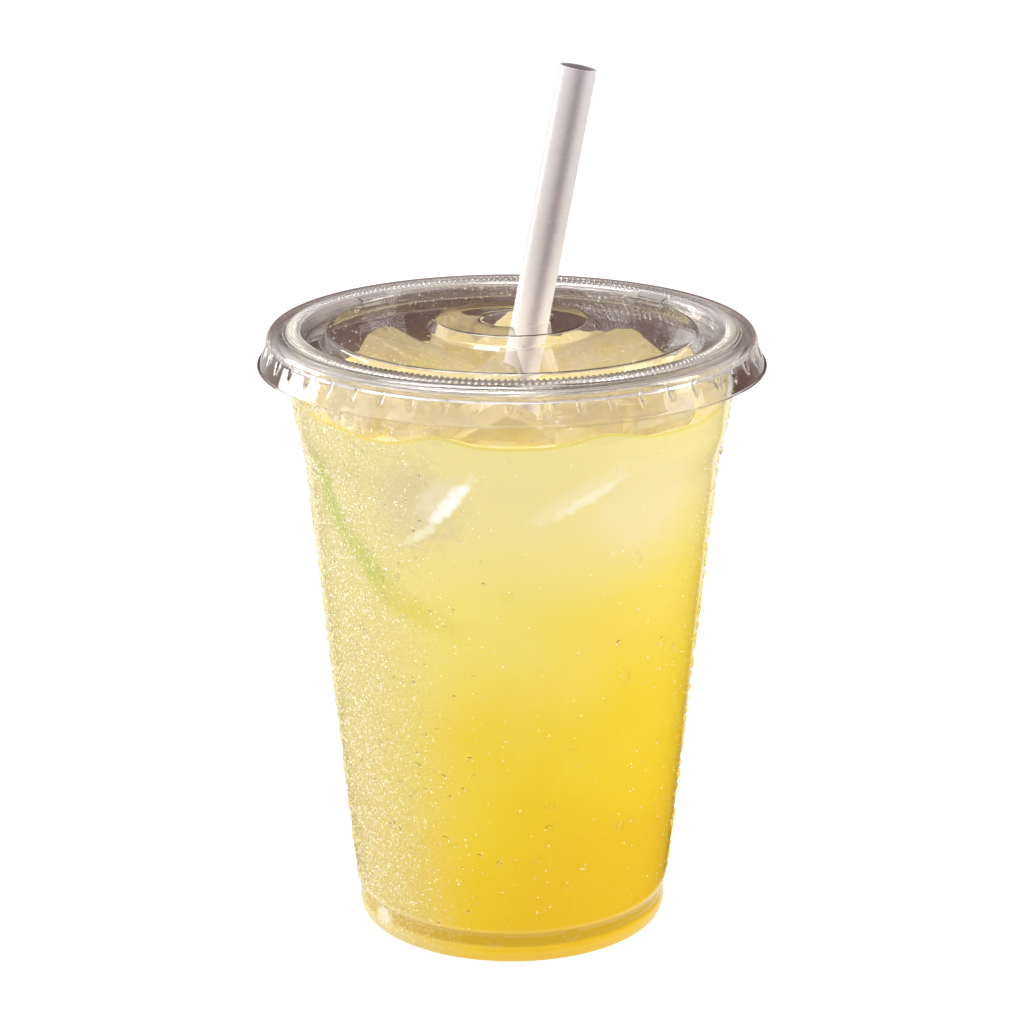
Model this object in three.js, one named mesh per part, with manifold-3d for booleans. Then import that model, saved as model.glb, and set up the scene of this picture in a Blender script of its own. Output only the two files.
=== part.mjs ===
// A clear plastic takeaway cup of iced lemon juice, with a flat clip-over lid and a straw.
// Millimetres, +Z up. The origin is on the table, in the middle of the cup's foot.
import * as THREE from 'three';
import { mergeVertices } from 'three/addons/utils/BufferGeometryUtils.js';
import Module from 'manifold-3d';

const wasm = await Module();
wasm.setup();

// Driving dimensions
const sides = 52;                 // flats round the cup, the lid and the drink
const gap = 0.3;                  // clearance between pieces that touch in the real cup

const cupWall = 0.6;
const footRadius = 30.8;          // outer edge of the ring that the cup stands on
const footRingWidth = 3.2;
const puntHeight = 3.4;           // the middle of the base is pushed up by this much
const footSlopeRun = 2.6;         // width of the slope from the foot ring up to the raised middle
const heelRadius = 32.6;
const heelCurveHeight = 2.1;      // the foot curves out to the heel over this height
const heelCurveSag = 0.55;
const heelHeight = 3.7;
const bandRadius = 32.2;          // shallow groove above the heel
const bandTop = 6.6;
const bandEdge = 0.3;             // half the height of the slope at the groove's edges
const taperBottomRadius = 32.9;
const taperBottomHeight = 7.2;
const taperSlope = 0.1003;        // growth of the radius for each millimetre of height
const taperTopHeight = 100.4;
const lowStepHeight = 101.4;      // two small steps under the rim stiffen the wall
const lowStepRadius = 42.8;
const highStepHeight = 105.2;
const highStepRadius = 43.5;
const stepSwell = 0.3;            // the wall widens by this much between the two steps
const stepRise = 0.8;
const collarHeight = 109.6;
const collarRadius = 44.2;
const flareHeight = 120.2;
const flareRadius = 45.6;
const curlRadius = 1.1;           // the rolled rim, as a hook that is open below
const curlCentreRadius = 47.45;
const curlCentreHeight = 124.0;

const lidWall = 0.5;
const beadRadius = 2.0;           // middle of the lid's rounded edge, over the cup's curl
const beadCentreRadius = 47.5;
const beadCentreHeight = 124.0;
const skirtFootRadius = 51.05;
const skirtFootHeight = 119.4;
const skirtTopHeight = 123.3;
const skirtTopInset = 0.15;
const ribCount = 90;              // fine ribs round the top
const ribLength = 2.5;
const ribHeight = 0.45;
const ribWidth = 1.6;
const crestOuterRadius = 45.5;
const crestHeight = 126.0;
const crestShoulderRun = 0.9;
const crestShoulderDrop = 0.45;
const crestInnerRadius = 42.9;
const channelOuterRadius = 42.4;
const channelInnerRadius = 38.3;
const channelHeight = 123.0;
const deckRadius = 37.5;
const deckHeight = 125.9;
const puckFootRadius = 16.8;
const puckRadius = 15.3;
const puckHeight = 127.7;
const holeRadius = 7.1;
const holeOffset = 0.7;           // the straw hole sits a little right of the middle
const holeLipDrop = 0.5;
const toothCount = 48;            // V-shaped dents that grip under the cup's curl
const toothWidth = 2.6;
const toothTop = 123.2;
const toothDrop = 2.9;
const toothDepth = 0.9;
const toothGripHeight = 121.8;
const lugCount = 4;               // stacking lugs on the wall of the channel
const lugSpanDeg = 11;
const lugDepth = 1.4;
const lugHeight = 2.2;

const strawRadius = 3.75;
const strawWall = 0.4;
const strawSides = 24;
const strawLeanDeg = 10.3;        // the straw leans to the right
const strawTopHeight = 178;
const strawBottomHeight = 6;
const strawAtPuck = 3.75;         // how far right of the middle it passes through the lid

const drinkLevel = 112.2;

// Each block of ice: middle, size and turn about X, Y and Z in degrees
const iceBlocks = [
  { name: 'ice_front_left', at: [-18.6, -19.4, 101.2], size: [25, 23, 24], turn: [14, -12, 40] },
  { name: 'ice_front_right', at: [18.8, -19.2, 101.0], size: [26, 23, 24], turn: [-12, 16, -38] },
  { name: 'ice_right', at: [25.0, 9.2, 107.8], size: [23, 24, 22], turn: [10, -22, 12] },
  { name: 'ice_back', at: [0.4, 27.2, 105.6], size: [21, 22, 22], turn: [18, 10, 4] },
  { name: 'ice_left', at: [-22.6, 10.8, 107.4], size: [23, 22, 22], turn: [-10, 20, -28] },
];
const iceSquareness = 5;          // 2 is a ball, and a large number is a sharp-edged box
const iceFacets = 3;
const iceWobble = 0.035;

const radians = THREE.MathUtils.degToRad;

function point(radius, height) {
  return new THREE.Vector2(radius, height);
}

function arc(centreRadius, centreHeight, radius, fromDeg, toDeg, steps) {
  const points = [];
  for (let i = 0; i <= steps; i += 1) {
    const angle = radians(fromDeg + ((toDeg - fromDeg) * i) / steps);
    points.push(point(centreRadius + radius * Math.cos(angle), centreHeight + radius * Math.sin(angle)));
  }
  return points;
}

// The outline of a thin wall whose middle follows the given line, outer side first
function wallOutline(midline, wall) {
  const shifted = (side) => midline.map((here, i) => {
    const before = midline[Math.max(i - 1, 0)];
    const after = midline[Math.min(i + 1, midline.length - 1)];
    const inward = here.clone().sub(before).normalize();
    const outward = after.clone().sub(here).normalize();
    const along = inward.clone().add(outward).normalize();
    const mitre = i > 0 && i < midline.length - 1 ? Math.max(along.dot(outward), 0.5) : 1;
    const normal = point(along.y, -along.x);
    return here.clone().addScaledVector(normal, (side * wall) / 2 / mitre);
  });
  return [...shifted(1), ...shifted(-1).reverse()];
}

function turned(outline, count = sides) {
  const geometry = new THREE.LatheGeometry(outline, count);
  geometry.rotateX(Math.PI / 2);
  return geometry;
}

function closed(outline) {
  return [...outline, outline[0].clone()];
}

function toSolid(geometry) {
  const bare = new THREE.BufferGeometry();
  bare.setAttribute('position', geometry.attributes.position);
  bare.setIndex(geometry.index);
  const merged = mergeVertices(bare, 1e-4);
  const index = [];
  for (let i = 0; i < merged.index.count; i += 3) {
    const [a, b, c] = [merged.index.getX(i), merged.index.getX(i + 1), merged.index.getX(i + 2)];
    if (a !== b && b !== c && c !== a) {
      index.push(a, b, c);
    }
  }
  const vertProperties = new Float32Array(merged.attributes.position.array);
  const triVerts = new Uint32Array(index);
  return new wasm.Manifold(new wasm.Mesh({ numProp: 3, vertProperties, triVerts }));
}

function toGeometry(solid) {
  const mesh = solid.getMesh();
  const geometry = new THREE.BufferGeometry();
  geometry.setAttribute('position', new THREE.BufferAttribute(mesh.vertProperties, 3));
  geometry.setIndex(new THREE.BufferAttribute(mesh.triVerts, 1));
  geometry.computeVertexNormals();
  return geometry;
}

function plastic(color, roughness, opacity) {
  return new THREE.MeshStandardMaterial({
    color,
    roughness,
    metalness: 0,
    opacity,
    transparent: opacity < 1,
  });
}

function piece(name, geometry, material) {
  const mesh = new THREE.Mesh(geometry, material);
  mesh.name = name;
  return mesh;
}

// Cup
const taperTopRadius = taperBottomRadius + taperSlope * (taperTopHeight - taperBottomHeight);
const floorHeight = puntHeight + cupWall;

function cupOutline() {
  const outside = [
    point(0, puntHeight),
    point(footRadius - footRingWidth - footSlopeRun, puntHeight),
    point(footRadius - footRingWidth, 0),
    point(footRadius, 0),
    point(heelRadius - heelCurveSag, heelCurveSag),
    point(heelRadius, heelCurveHeight),
    point(heelRadius, heelHeight - bandEdge),
    point(bandRadius, heelHeight + bandEdge),
    point(bandRadius, bandTop),
    point(taperBottomRadius, taperBottomHeight),
    point(taperTopRadius, taperTopHeight),
    point(lowStepRadius, lowStepHeight),
    point(lowStepRadius + stepSwell, highStepHeight - stepRise),
    point(highStepRadius, highStepHeight),
    point(collarRadius, collarHeight),
    point(flareRadius, flareHeight),
  ];
  const curlOuter = curlRadius + cupWall / 2;
  const curlInner = curlRadius - cupWall / 2;
  const underCurl = arc(curlCentreRadius, curlCentreHeight, curlInner, 185, -50, 4);
  const overCurl = arc(curlCentreRadius, curlCentreHeight, curlOuter, -50, 180, 5);
  return [...outside, ...underCurl, ...overCurl, ...insideOutline(0, flareHeight + 1).reverse()];
}

// The inner wall of the cup, from the middle of its floor to the given height and set in a little
function insideOutline(inset, topHeight) {
  const shrink = cupWall + inset;
  const corners = [
    point(0, floorHeight + inset),
    point(footRadius - footRingWidth - footSlopeRun + shrink, floorHeight + inset),
    point(footRadius - footRingWidth + shrink, shrink),
    point(footRadius - shrink / 2, shrink),
    point(heelRadius - shrink, heelCurveHeight + shrink / 2),
    point(bandRadius - shrink, heelHeight + bandEdge),
    point(bandRadius - shrink, bandTop + bandEdge),
    point(taperBottomRadius - shrink, taperBottomHeight + bandEdge),
    point(taperTopRadius - shrink, taperTopHeight),
    point(lowStepRadius - shrink, lowStepHeight),
    point(highStepRadius - shrink, highStepHeight),
    point(collarRadius - shrink, collarHeight),
    point(flareRadius - shrink, flareHeight + 1),
  ];
  const kept = corners.filter((corner) => corner.y <= topHeight);
  if (kept.length < corners.length) {
    const below = kept[kept.length - 1];
    const above = corners[kept.length];
    const share = (topHeight - below.y) / (above.y - below.y);
    kept.push(below.clone().lerp(above, share));
  }
  return kept;
}

const cup = piece('cup', turned(cupOutline()), plastic(0xf2f0ea, 0.06, 0.35));

// Lid
function lidMidline() {
  return [
    point(skirtFootRadius, skirtFootHeight),
    point(beadCentreRadius + beadRadius - skirtTopInset, skirtTopHeight),
    ...arc(beadCentreRadius, beadCentreHeight, beadRadius, 5, 140, 4),
    point(crestOuterRadius, crestHeight - crestShoulderDrop),
    point(crestOuterRadius - crestShoulderRun, crestHeight),
    point(crestInnerRadius, crestHeight),
    point(channelOuterRadius, channelHeight),
    point(channelInnerRadius, channelHeight),
    point(deckRadius, deckHeight),
    point(puckFootRadius, deckHeight),
    point(puckRadius, puckHeight),
    point(0, puckHeight),
  ];
}

function moved(geometry, x, y, z) {
  geometry.translate(x, y, z);
  return geometry;
}

// The hole's edge is turned down into a short collar
function holeCollar() {
  const midline = [
    point(holeRadius + 0.9, puckHeight),
    point(holeRadius + lidWall / 2, puckHeight - 0.1),
    point(holeRadius + lidWall / 2, puckHeight - holeLipDrop - lidWall / 2),
  ];
  return toSolid(moved(turned(closed(wallOutline(midline, lidWall))), holeOffset, 0, 0));
}

function holeCut() {
  const plug = new THREE.CylinderGeometry(holeRadius + 0.5, holeRadius + 0.5, 4, sides);
  plug.rotateX(Math.PI / 2);
  return toSolid(moved(plug, holeOffset, 0, puckHeight));
}

// One ridge with a three-sided section, lying along X from the given radius outwards
function ridge(width, height, length) {
  const section = new THREE.Shape();
  section.moveTo(-width / 2, 0);
  section.lineTo(width / 2, 0);
  section.lineTo(0, height);
  const geometry = new THREE.ExtrudeGeometry(section, { depth: length, bevelEnabled: false });
  geometry.rotateX(Math.PI / 2);
  geometry.rotateZ(Math.PI / 2);
  return geometry;
}

function knurling() {
  const sunk = 0.15;
  const ribs = [];
  for (let i = 0; i < ribCount; i += 1) {
    const rib = ridge(ribWidth, ribHeight + sunk, ribLength);
    rib.translate(crestInnerRadius - 0.1, 0, crestHeight + lidWall / 2 - sunk);
    rib.rotateZ((i + 0.5) * ((2 * Math.PI) / ribCount));
    ribs.push(toSolid(rib));
  }
  return wasm.Manifold.union(ribs);
}

// A small pyramid on the inside of the skirt, deepest just below the cup's curl
function toothGeometry() {
  const skirtRadius = (height) => {
    const share = (height - skirtFootHeight) / (skirtTopHeight - skirtFootHeight);
    return skirtFootRadius + (beadCentreRadius + beadRadius - skirtTopInset - skirtFootRadius) * share;
  };
  const tip = toothTop - toothDrop;
  const corners = [
    new THREE.Vector3(skirtRadius(toothTop), -toothWidth / 2, toothTop),
    new THREE.Vector3(skirtRadius(toothTop), toothWidth / 2, toothTop),
    new THREE.Vector3(skirtRadius(tip), 0, tip),
    new THREE.Vector3(skirtRadius(toothGripHeight) - toothDepth, 0, toothGripHeight),
  ];
  const geometry = new THREE.BufferGeometry().setFromPoints(corners);
  geometry.setIndex([0, 2, 1, 0, 1, 3, 1, 2, 3, 2, 0, 3]);
  return geometry;
}

function gripTeeth() {
  const teeth = [];
  for (let i = 0; i < toothCount; i += 1) {
    const tooth = toothGeometry();
    tooth.rotateZ((i * 2 * Math.PI) / toothCount);
    teeth.push(toSolid(tooth));
  }
  return wasm.Manifold.union(teeth);
}

function stackingLugs() {
  const lugs = [];
  for (let i = 0; i < lugCount; i += 1) {
    const middle = 45 + (360 / lugCount) * i;
    const from = radians(middle - lugSpanDeg / 2);
    const to = radians(middle + lugSpanDeg / 2);
    const block = new THREE.Shape();
    block.absarc(0, 0, channelOuterRadius + 0.35, from, to, false);
    block.absarc(0, 0, channelOuterRadius - lugDepth, to, from, true);
    const settings = { depth: lugHeight, bevelEnabled: false, curveSegments: 3 };
    const geometry = new THREE.ExtrudeGeometry(block, settings);
    geometry.translate(0, 0, channelHeight);
    lugs.push(toSolid(geometry));
  }
  return wasm.Manifold.union(lugs);
}

function lidGeometry() {
  const shell = toSolid(turned(closed(wallOutline(lidMidline(), lidWall))));
  const holed = shell.subtract(holeCut()).add(holeCollar());
  return toGeometry(holed.add(knurling()).add(gripTeeth()).add(stackingLugs()));
}

const lid = piece('lid', lidGeometry(), plastic(0xf0ebe6, 0.06, 0.35));

// Straw
function onStraw(geometry) {
  geometry.rotateY(radians(strawLeanDeg));
  const atOrigin = strawAtPuck - Math.tan(radians(strawLeanDeg)) * puckHeight;
  geometry.translate(atOrigin, 0, 0);
  return geometry;
}

function strawTube(outerRadius, innerRadius, fromHeight, toHeight) {
  const stretch = 1 / Math.cos(radians(strawLeanDeg));
  const outline = [
    point(innerRadius, fromHeight * stretch),
    point(outerRadius, fromHeight * stretch),
    point(outerRadius, toHeight * stretch),
    point(innerRadius, toHeight * stretch),
  ];
  return onStraw(turned(closed(outline), strawSides));
}

const straw = piece(
  'straw',
  strawTube(strawRadius, strawRadius - strawWall, strawBottomHeight, strawTopHeight),
  plastic(0xe4dde4, 0.3, 0.9),
);

// Ice: melted blocks that stand out of the drink
function iceGeometry({ at, size, turn }, grow = 0) {
  const block = new THREE.BoxGeometry(2, 2, 2, iceFacets, iceFacets, iceFacets);
  const places = block.attributes.position;
  const here = new THREE.Vector3();
  for (let i = 0; i < places.count; i += 1) {
    here.fromBufferAttribute(places, i);
    const sum = Math.abs(here.x) ** iceSquareness + Math.abs(here.y) ** iceSquareness
      + Math.abs(here.z) ** iceSquareness;
    const round = sum ** (-1 / iceSquareness);
    const wave = 1 + iceWobble * Math.sin(3 * here.x + at[0]) * Math.cos(2.5 * here.y + at[1] - here.z);
    const x = here.x * round * wave * (size[0] / 2 + grow);
    const y = here.y * round * wave * (size[1] / 2 + grow);
    const z = here.z * round * wave * (size[2] / 2 + grow);
    places.setXYZ(i, x, y, z);
  }
  block.rotateX(radians(turn[0]));
  block.rotateY(radians(turn[1]));
  block.rotateZ(radians(turn[2]));
  block.translate(...at);
  return block;
}

const iceMaterial = plastic(0xf0ead0, 0.12, 0.6);
const ice = iceBlocks.map((block) => piece(block.name, iceGeometry(block), iceMaterial.clone()));

// Drink: fills the cup to its level, round the ice and the straw, and stands inside the straw too
function drinkGeometry() {
  const fill = insideOutline(gap, drinkLevel);
  const body = toSolid(turned([...fill, point(0, drinkLevel)]));
  const pockets = iceBlocks.map((block) => toSolid(iceGeometry(block, gap)));
  const sleeve = toSolid(strawTube(
    strawRadius + gap,
    strawRadius - strawWall - gap,
    strawBottomHeight - gap,
    drinkLevel + 5,
  ));
  return toGeometry(body.subtract(wasm.Manifold.union([...pockets, sleeve])));
}

const drink = piece('drink', drinkGeometry(), plastic(0xefcf4c, 0.1, 0.95));

const glassOfLemonJuice = new THREE.Group();
glassOfLemonJuice.add(cup, lid, straw, drink, ...ice);

export default glassOfLemonJuice;
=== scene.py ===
import bpy
import math
import random
import time
import numpy as np
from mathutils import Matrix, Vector


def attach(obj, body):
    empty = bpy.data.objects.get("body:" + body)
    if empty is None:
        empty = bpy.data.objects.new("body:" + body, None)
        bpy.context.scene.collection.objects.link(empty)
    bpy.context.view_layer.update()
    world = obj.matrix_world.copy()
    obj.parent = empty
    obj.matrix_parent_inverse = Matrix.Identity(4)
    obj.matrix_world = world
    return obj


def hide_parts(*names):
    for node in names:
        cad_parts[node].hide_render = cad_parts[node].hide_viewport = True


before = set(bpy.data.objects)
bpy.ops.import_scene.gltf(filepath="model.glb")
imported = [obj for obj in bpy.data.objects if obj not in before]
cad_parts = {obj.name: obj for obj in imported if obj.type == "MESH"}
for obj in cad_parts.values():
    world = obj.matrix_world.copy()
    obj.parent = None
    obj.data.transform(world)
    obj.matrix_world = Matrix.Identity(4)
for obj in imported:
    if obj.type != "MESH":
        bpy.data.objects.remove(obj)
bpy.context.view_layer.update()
mm = 0.001
turn = 2 * math.pi
begun = time.time()


def report(stage, count):
    print(f"{stage}: {count} faces, {time.time() - begun:.0f} s")


# Small helpers for modelling
def startPiece():
    if bpy.context.mode != "OBJECT":
        bpy.ops.object.mode_set(mode="OBJECT")
    bpy.ops.object.select_all(action="DESELECT")


def editMode():
    bpy.ops.object.mode_set(mode="EDIT")
    bpy.ops.mesh.select_mode(type="VERT")


def objectMode():
    bpy.ops.object.mode_set(mode="OBJECT")


def settle(piece, name):
    # names the piece and puts its place into its mesh
    piece.name = name
    piece.data.name = name
    bpy.ops.object.transform_apply(location=True, rotation=True, scale=True)


def placeNew(name, data):
    piece = bpy.data.objects.new(name, data)
    bpy.context.scene.collection.objects.link(piece)
    return piece


def places(piece):
    flat = np.empty(len(piece.data.vertices) * 3)
    piece.data.vertices.foreach_get("co", flat)
    return flat.reshape(-1, 3)


def moveTo(piece, where):
    piece.data.vertices.foreach_set("co", where.ravel())
    piece.data.update()


def pickVertices(piece, chosen):
    # call in object mode, then go to edit mode
    mesh = piece.data
    mesh.polygons.foreach_set("select", np.zeros(len(mesh.polygons), dtype=bool))
    mesh.edges.foreach_set("select", np.zeros(len(mesh.edges), dtype=bool))
    mesh.vertices.foreach_set("select", chosen)
    mesh.update()


def shiftVertices(piece, chosen, shift):
    pickVertices(piece, chosen)
    editMode()
    bpy.ops.transform.translate(value=shift)
    objectMode()


def drawInVertices(piece, chosen, share):
    # moves vertices towards the upright axis, or away from it where share is over 1
    pickVertices(piece, chosen)
    editMode()
    bpy.ops.transform.resize(value=(share, share, 1), center_override=(0, 0, 0))
    objectMode()


def makeActive(piece):
    startPiece()
    piece.select_set(True)
    bpy.context.view_layer.objects.active = piece


def reachOf(where):
    # distance from the upright axis in mm
    return np.hypot(where[:, 0], where[:, 1]) / mm


def turnOf(where):
    # direction round the upright axis in degrees from the right
    return np.degrees(np.arctan2(where[:, 1], where[:, 0])) % 360


def markVertices(piece, name, values):
    mark = piece.data.attributes.new(name, "FLOAT", "POINT")
    mark.data.foreach_set("value", values)


def applyAll(piece):
    bpy.context.view_layer.objects.active = piece
    for modifier in list(piece.modifiers):
        bpy.ops.object.modifier_apply(modifier=modifier.name)


def smoothShade(piece, angle):
    makeActive(piece)
    bpy.ops.object.shade_smooth_by_angle(angle=math.radians(angle))


def arcPoints(centreRadius, centreHeight, radius, fromDeg, toDeg, count):
    points = []
    for i in range(count + 1):
        angle = math.radians(fromDeg + (toDeg - fromDeg) * i / count)
        across = centreRadius + radius * math.cos(angle)
        points.append((across, centreHeight + radius * math.sin(angle)))
    return points


def softCorners(corners, pieces=4):
    # corners are (radius, height, rounding), and each rounding becomes a short curve
    points = []
    for i, (radius, height, rounding) in enumerate(corners):
        here = Vector((radius, height))
        if rounding == 0 or i in (0, len(corners) - 1):
            points.append((radius, height))
            continue
        back = Vector(corners[i - 1][:2]) - here
        ahead = Vector(corners[i + 1][:2]) - here
        wanted = rounding / math.tan(back.angle(ahead) / 2)
        reach = min(wanted, back.length * 0.48, ahead.length * 0.48)
        first = here + back.normalized() * reach
        last = here + ahead.normalized() * reach
        for k in range(pieces + 1):
            t = k / pieces
            point = first * (1 - t) ** 2 + here * 2 * t * (1 - t) + last * t ** 2
            points.append((point.x, point.y))
    return points


def stepsBetween(first, last, count):
    return [
        (
            first[0] + (last[0] - first[0]) * i / count,
            first[1] + (last[1] - first[1]) * i / count,
        )
        for i in range(1, count)
    ]


def spinProfile(name, profile, steps):
    # draws the half section point by point in the XZ plane, then spins it
    startPiece()
    first = (profile[0][0] * mm, 0, profile[0][1] * mm)
    bpy.ops.mesh.primitive_plane_add(size=mm, location=first)
    piece = bpy.context.object
    settle(piece, name)
    editMode()
    bpy.ops.mesh.select_all(action="SELECT")
    bpy.ops.mesh.merge(type="CENTER")
    for before, after in zip(profile, profile[1:]):
        step = ((after[0] - before[0]) * mm, 0, (after[1] - before[1]) * mm)
        bpy.ops.mesh.extrude_region_move(TRANSFORM_OT_translate={"value": step})
    bpy.ops.mesh.select_all(action="SELECT")
    bpy.ops.mesh.spin(steps=steps, angle=turn, center=(0, 0, 0), axis=(0, 0, 1))
    bpy.ops.mesh.select_all(action="SELECT")
    bpy.ops.mesh.remove_doubles(threshold=1e-6)
    bpy.ops.mesh.normals_make_consistent(inside=False)
    objectMode()
    return piece


def giveWall(piece, thickness, offset=-1):
    wall = piece.modifiers.new("Wall", "SOLIDIFY")
    wall.thickness = thickness * mm
    wall.offset = offset
    wall.use_even_offset = True
    applyAll(piece)


# Shader helpers
def newMaterial(name):
    material = bpy.data.materials.new(name)
    material.use_nodes = True
    material.node_tree.nodes.clear()
    return material


def addNode(tree, kind, x, y, **values):
    node = tree.nodes.new(kind)
    node.location = (x, y)
    for key, value in values.items():
        setattr(node, key, value)
    return node


def join(tree, fromSocket, toSocket):
    tree.links.new(fromSocket, toSocket)


def mathNode(tree, operation, x, y, first, second=None):
    node = addNode(tree, "ShaderNodeMath", x, y, operation=operation)
    for i, value in enumerate((first, second)):
        if value is None:
            continue
        if hasattr(value, "node"):
            join(tree, value, node.inputs[i])
        else:
            node.inputs[i].default_value = value
    return node.outputs[0]


def times(tree, x, y, first, second):
    return mathNode(tree, "MULTIPLY", x, y, first, second)


def rangeNode(tree, x, y, value, fromMin, fromMax, toMin=0.0, toMax=1.0, kind="SMOOTHSTEP"):
    node = addNode(tree, "ShaderNodeMapRange", x, y, interpolation_type=kind)
    join(tree, value, node.inputs["Value"])
    node.inputs["From Min"].default_value = fromMin
    node.inputs["From Max"].default_value = fromMax
    node.inputs["To Min"].default_value = toMin
    node.inputs["To Max"].default_value = toMax
    return node.outputs["Result"]


def blendColours(tree, x, y, mask, first, second):
    node = addNode(tree, "ShaderNodeMix", x, y, data_type="RGBA")
    join(tree, mask, node.inputs["Factor"])
    for i, value in ((6, first), (7, second)):
        if hasattr(value, "node"):
            join(tree, value, node.inputs[i])
        else:
            node.inputs[i].default_value = value
    return node.outputs[2]


def axesOf(tree, x, y, kind="Object"):
    where = addNode(tree, "ShaderNodeTexCoord", x, y)
    axes = addNode(tree, "ShaderNodeSeparateXYZ", x + 200, y)
    join(tree, where.outputs[kind], axes.inputs[0])
    return axes.outputs


def reachNode(tree, x, y, axes):
    # distance from the upright axis
    flat = addNode(tree, "ShaderNodeCombineXYZ", x, y)
    join(tree, axes["X"], flat.inputs["X"])
    join(tree, axes["Y"], flat.inputs["Y"])
    reach = addNode(tree, "ShaderNodeVectorMath", x + 200, y, operation="LENGTH")
    join(tree, flat.outputs[0], reach.inputs[0])
    return reach.outputs["Value"]


def bentRays(tree, x, y):
    # what plastic bends or mirrors: a ray that went through it counts as glossy as well
    path = addNode(tree, "ShaderNodeLightPath", x, y)
    kinds = path.outputs["Is Transmission Ray"], path.outputs["Is Glossy Ray"]
    return path, mathNode(tree, "MAXIMUM", x + 200, y, *kinds)


def colour(red, green, blue):
    # picture values from 0 to 255 turned into light values
    def light(value):
        share = value / 255
        return share / 12.92 if share < 0.04045 else ((share + 0.055) / 1.055) ** 2.4

    return (light(red), light(green), light(blue), 1.0)


def makeMottleGroup():
    # fine uneven grain that several finishes use for roughness and relief
    group = bpy.data.node_groups.new("Mottle", "ShaderNodeTree")
    faces = group.interface
    faces.new_socket(name="Vector", in_out="INPUT", socket_type="NodeSocketVector")
    faces.new_socket(name="Scale", in_out="INPUT", socket_type="NodeSocketFloat")
    faces.new_socket(name="Detail", in_out="INPUT", socket_type="NodeSocketFloat")
    faces.new_socket(name="Value", in_out="OUTPUT", socket_type="NodeSocketFloat")
    inside = addNode(group, "NodeGroupInput", -400, 0)
    noise = addNode(group, "ShaderNodeTexNoise", -200, 0)
    outside = addNode(group, "NodeGroupOutput", 200, 0)
    join(group, inside.outputs["Vector"], noise.inputs["Vector"])
    join(group, inside.outputs["Scale"], noise.inputs["Scale"])
    join(group, inside.outputs["Detail"], noise.inputs["Detail"])
    join(group, noise.outputs["Fac"], outside.inputs["Value"])
    return group


mottleGroup = makeMottleGroup()


def mottle(tree, x, y, scale, detail=3.0):
    where = addNode(tree, "ShaderNodeTexCoord", x - 200, y)
    node = addNode(tree, "ShaderNodeGroup", x, y)
    node.node_tree = mottleGroup
    join(tree, where.outputs["Object"], node.inputs["Vector"])
    node.inputs["Scale"].default_value = scale
    node.inputs["Detail"].default_value = detail
    return node.outputs["Value"]


def bumpNode(tree, x, y, height, strength, distance):
    node = addNode(tree, "ShaderNodeBump", x, y)
    join(tree, height, node.inputs["Height"])
    node.inputs["Strength"].default_value = strength
    node.inputs["Distance"].default_value = distance
    return node.outputs["Normal"]


def clearFinish(name, look):
    # clear plastic, ice or water that lets the lamps' light through to what is behind it
    material = newMaterial(name)
    tree = material.node_tree
    out = addNode(tree, "ShaderNodeOutputMaterial", 800, 0)
    mix = addNode(tree, "ShaderNodeMixShader", 600, 0)
    path = addNode(tree, "ShaderNodeLightPath", 200, 300)
    either = mathNode(
        tree, "MAXIMUM", 400, 300,
        path.outputs["Is Shadow Ray"], path.outputs["Is Diffuse Ray"],
    )
    glass = addNode(tree, "ShaderNodeBsdfPrincipled", 200, 0)
    through = addNode(tree, "ShaderNodeBsdfTransparent", 200, -700)
    through.inputs["Color"].default_value = look["lets"]
    glass.inputs["Transmission Weight"].default_value = look["clear"]
    glass.inputs["IOR"].default_value = look["ior"]
    # painted glow where the look gives one
    glass.inputs["Emission Color"].default_value = look["tint"]
    glass.inputs["Emission Strength"].default_value = look.get("glow", 0)
    grain = mottle(tree, -600, -200, look["grainScale"])
    rough = rangeNode(tree, -200, -200, grain, 0.3, 0.7, look["rough"], look["rougher"])
    tint = blendColours(tree, -200, 100, grain, look["tint"], look["tintDeep"])
    waves = mottle(tree, -600, -500, look["waveScale"], 2.0)
    join(tree, tint, glass.inputs["Base Color"])
    join(tree, rough, glass.inputs["Roughness"])
    normal = bumpNode(tree, 0, -500, waves, look["waveStrength"], look["waveDepth"] * mm)
    join(tree, normal, glass.inputs["Normal"])
    join(tree, either, mix.inputs["Fac"])
    join(tree, glass.outputs[0], mix.inputs[1])
    join(tree, through.outputs[0], mix.inputs[2])
    join(tree, mix.outputs[0], out.inputs["Surface"])
    return material


def dress(piece, material, slot, *nodes):
    piece.data.materials.clear()
    piece.data.materials.append(material)
    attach(piece, "root")
    if nodes:
        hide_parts(*nodes)


# Cup
cupLook = {
    "steps": 256,
    "wall": 0.6,                 # grows inwards from the outside
    "taperRows": 12,
    "outside": [
        # radius, height, rounding
        (0.0, 3.4, 0), (24.9, 3.4, 0.8), (27.5, 0.0, 0.6), (30.8, 0.0, 0.5),
        (32.0, 0.55, 0.8), (32.45, 2.1, 1.0), (32.4, 3.3, 0.6), (32.2, 4.1, 0.6),
        (32.2, 6.0, 1.2), (32.95, 7.9, 2.0),
    ],
    "taperTop": (42.14, 99.4),
    # soft step up the wall: where it begins and ends and how much it widens the cup
    "softStep": (99.4, 107.4, 0.94),
    "softSlope": 0.108,
    "softRow": 0.4,
    "shoulderTop": 109.6,
    "shoulders": [(44.2, 109.6, 0), (45.3, 119.0, 0.6), (46.0, 121.6, 0.8), (46.65, 124.0, 0)],
    "curl": (47.45, 124.0, 0.8),
}


def softWall(inset):
    # the wall's soft step, drawn in by the inset
    radius, height = cupLook["taperTop"]
    low, high, rise = cupLook["softStep"]
    points = []
    for z in np.arange(height, cupLook["shoulderTop"], cupLook["softRow"]):
        t = min(1, max(0, (z - low) / (high - low)))
        widened = rise * (t * t * (3 - 2 * t))
        points.append((radius - inset + (z - height) * cupLook["softSlope"] + widened, float(z)))
    return points


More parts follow.
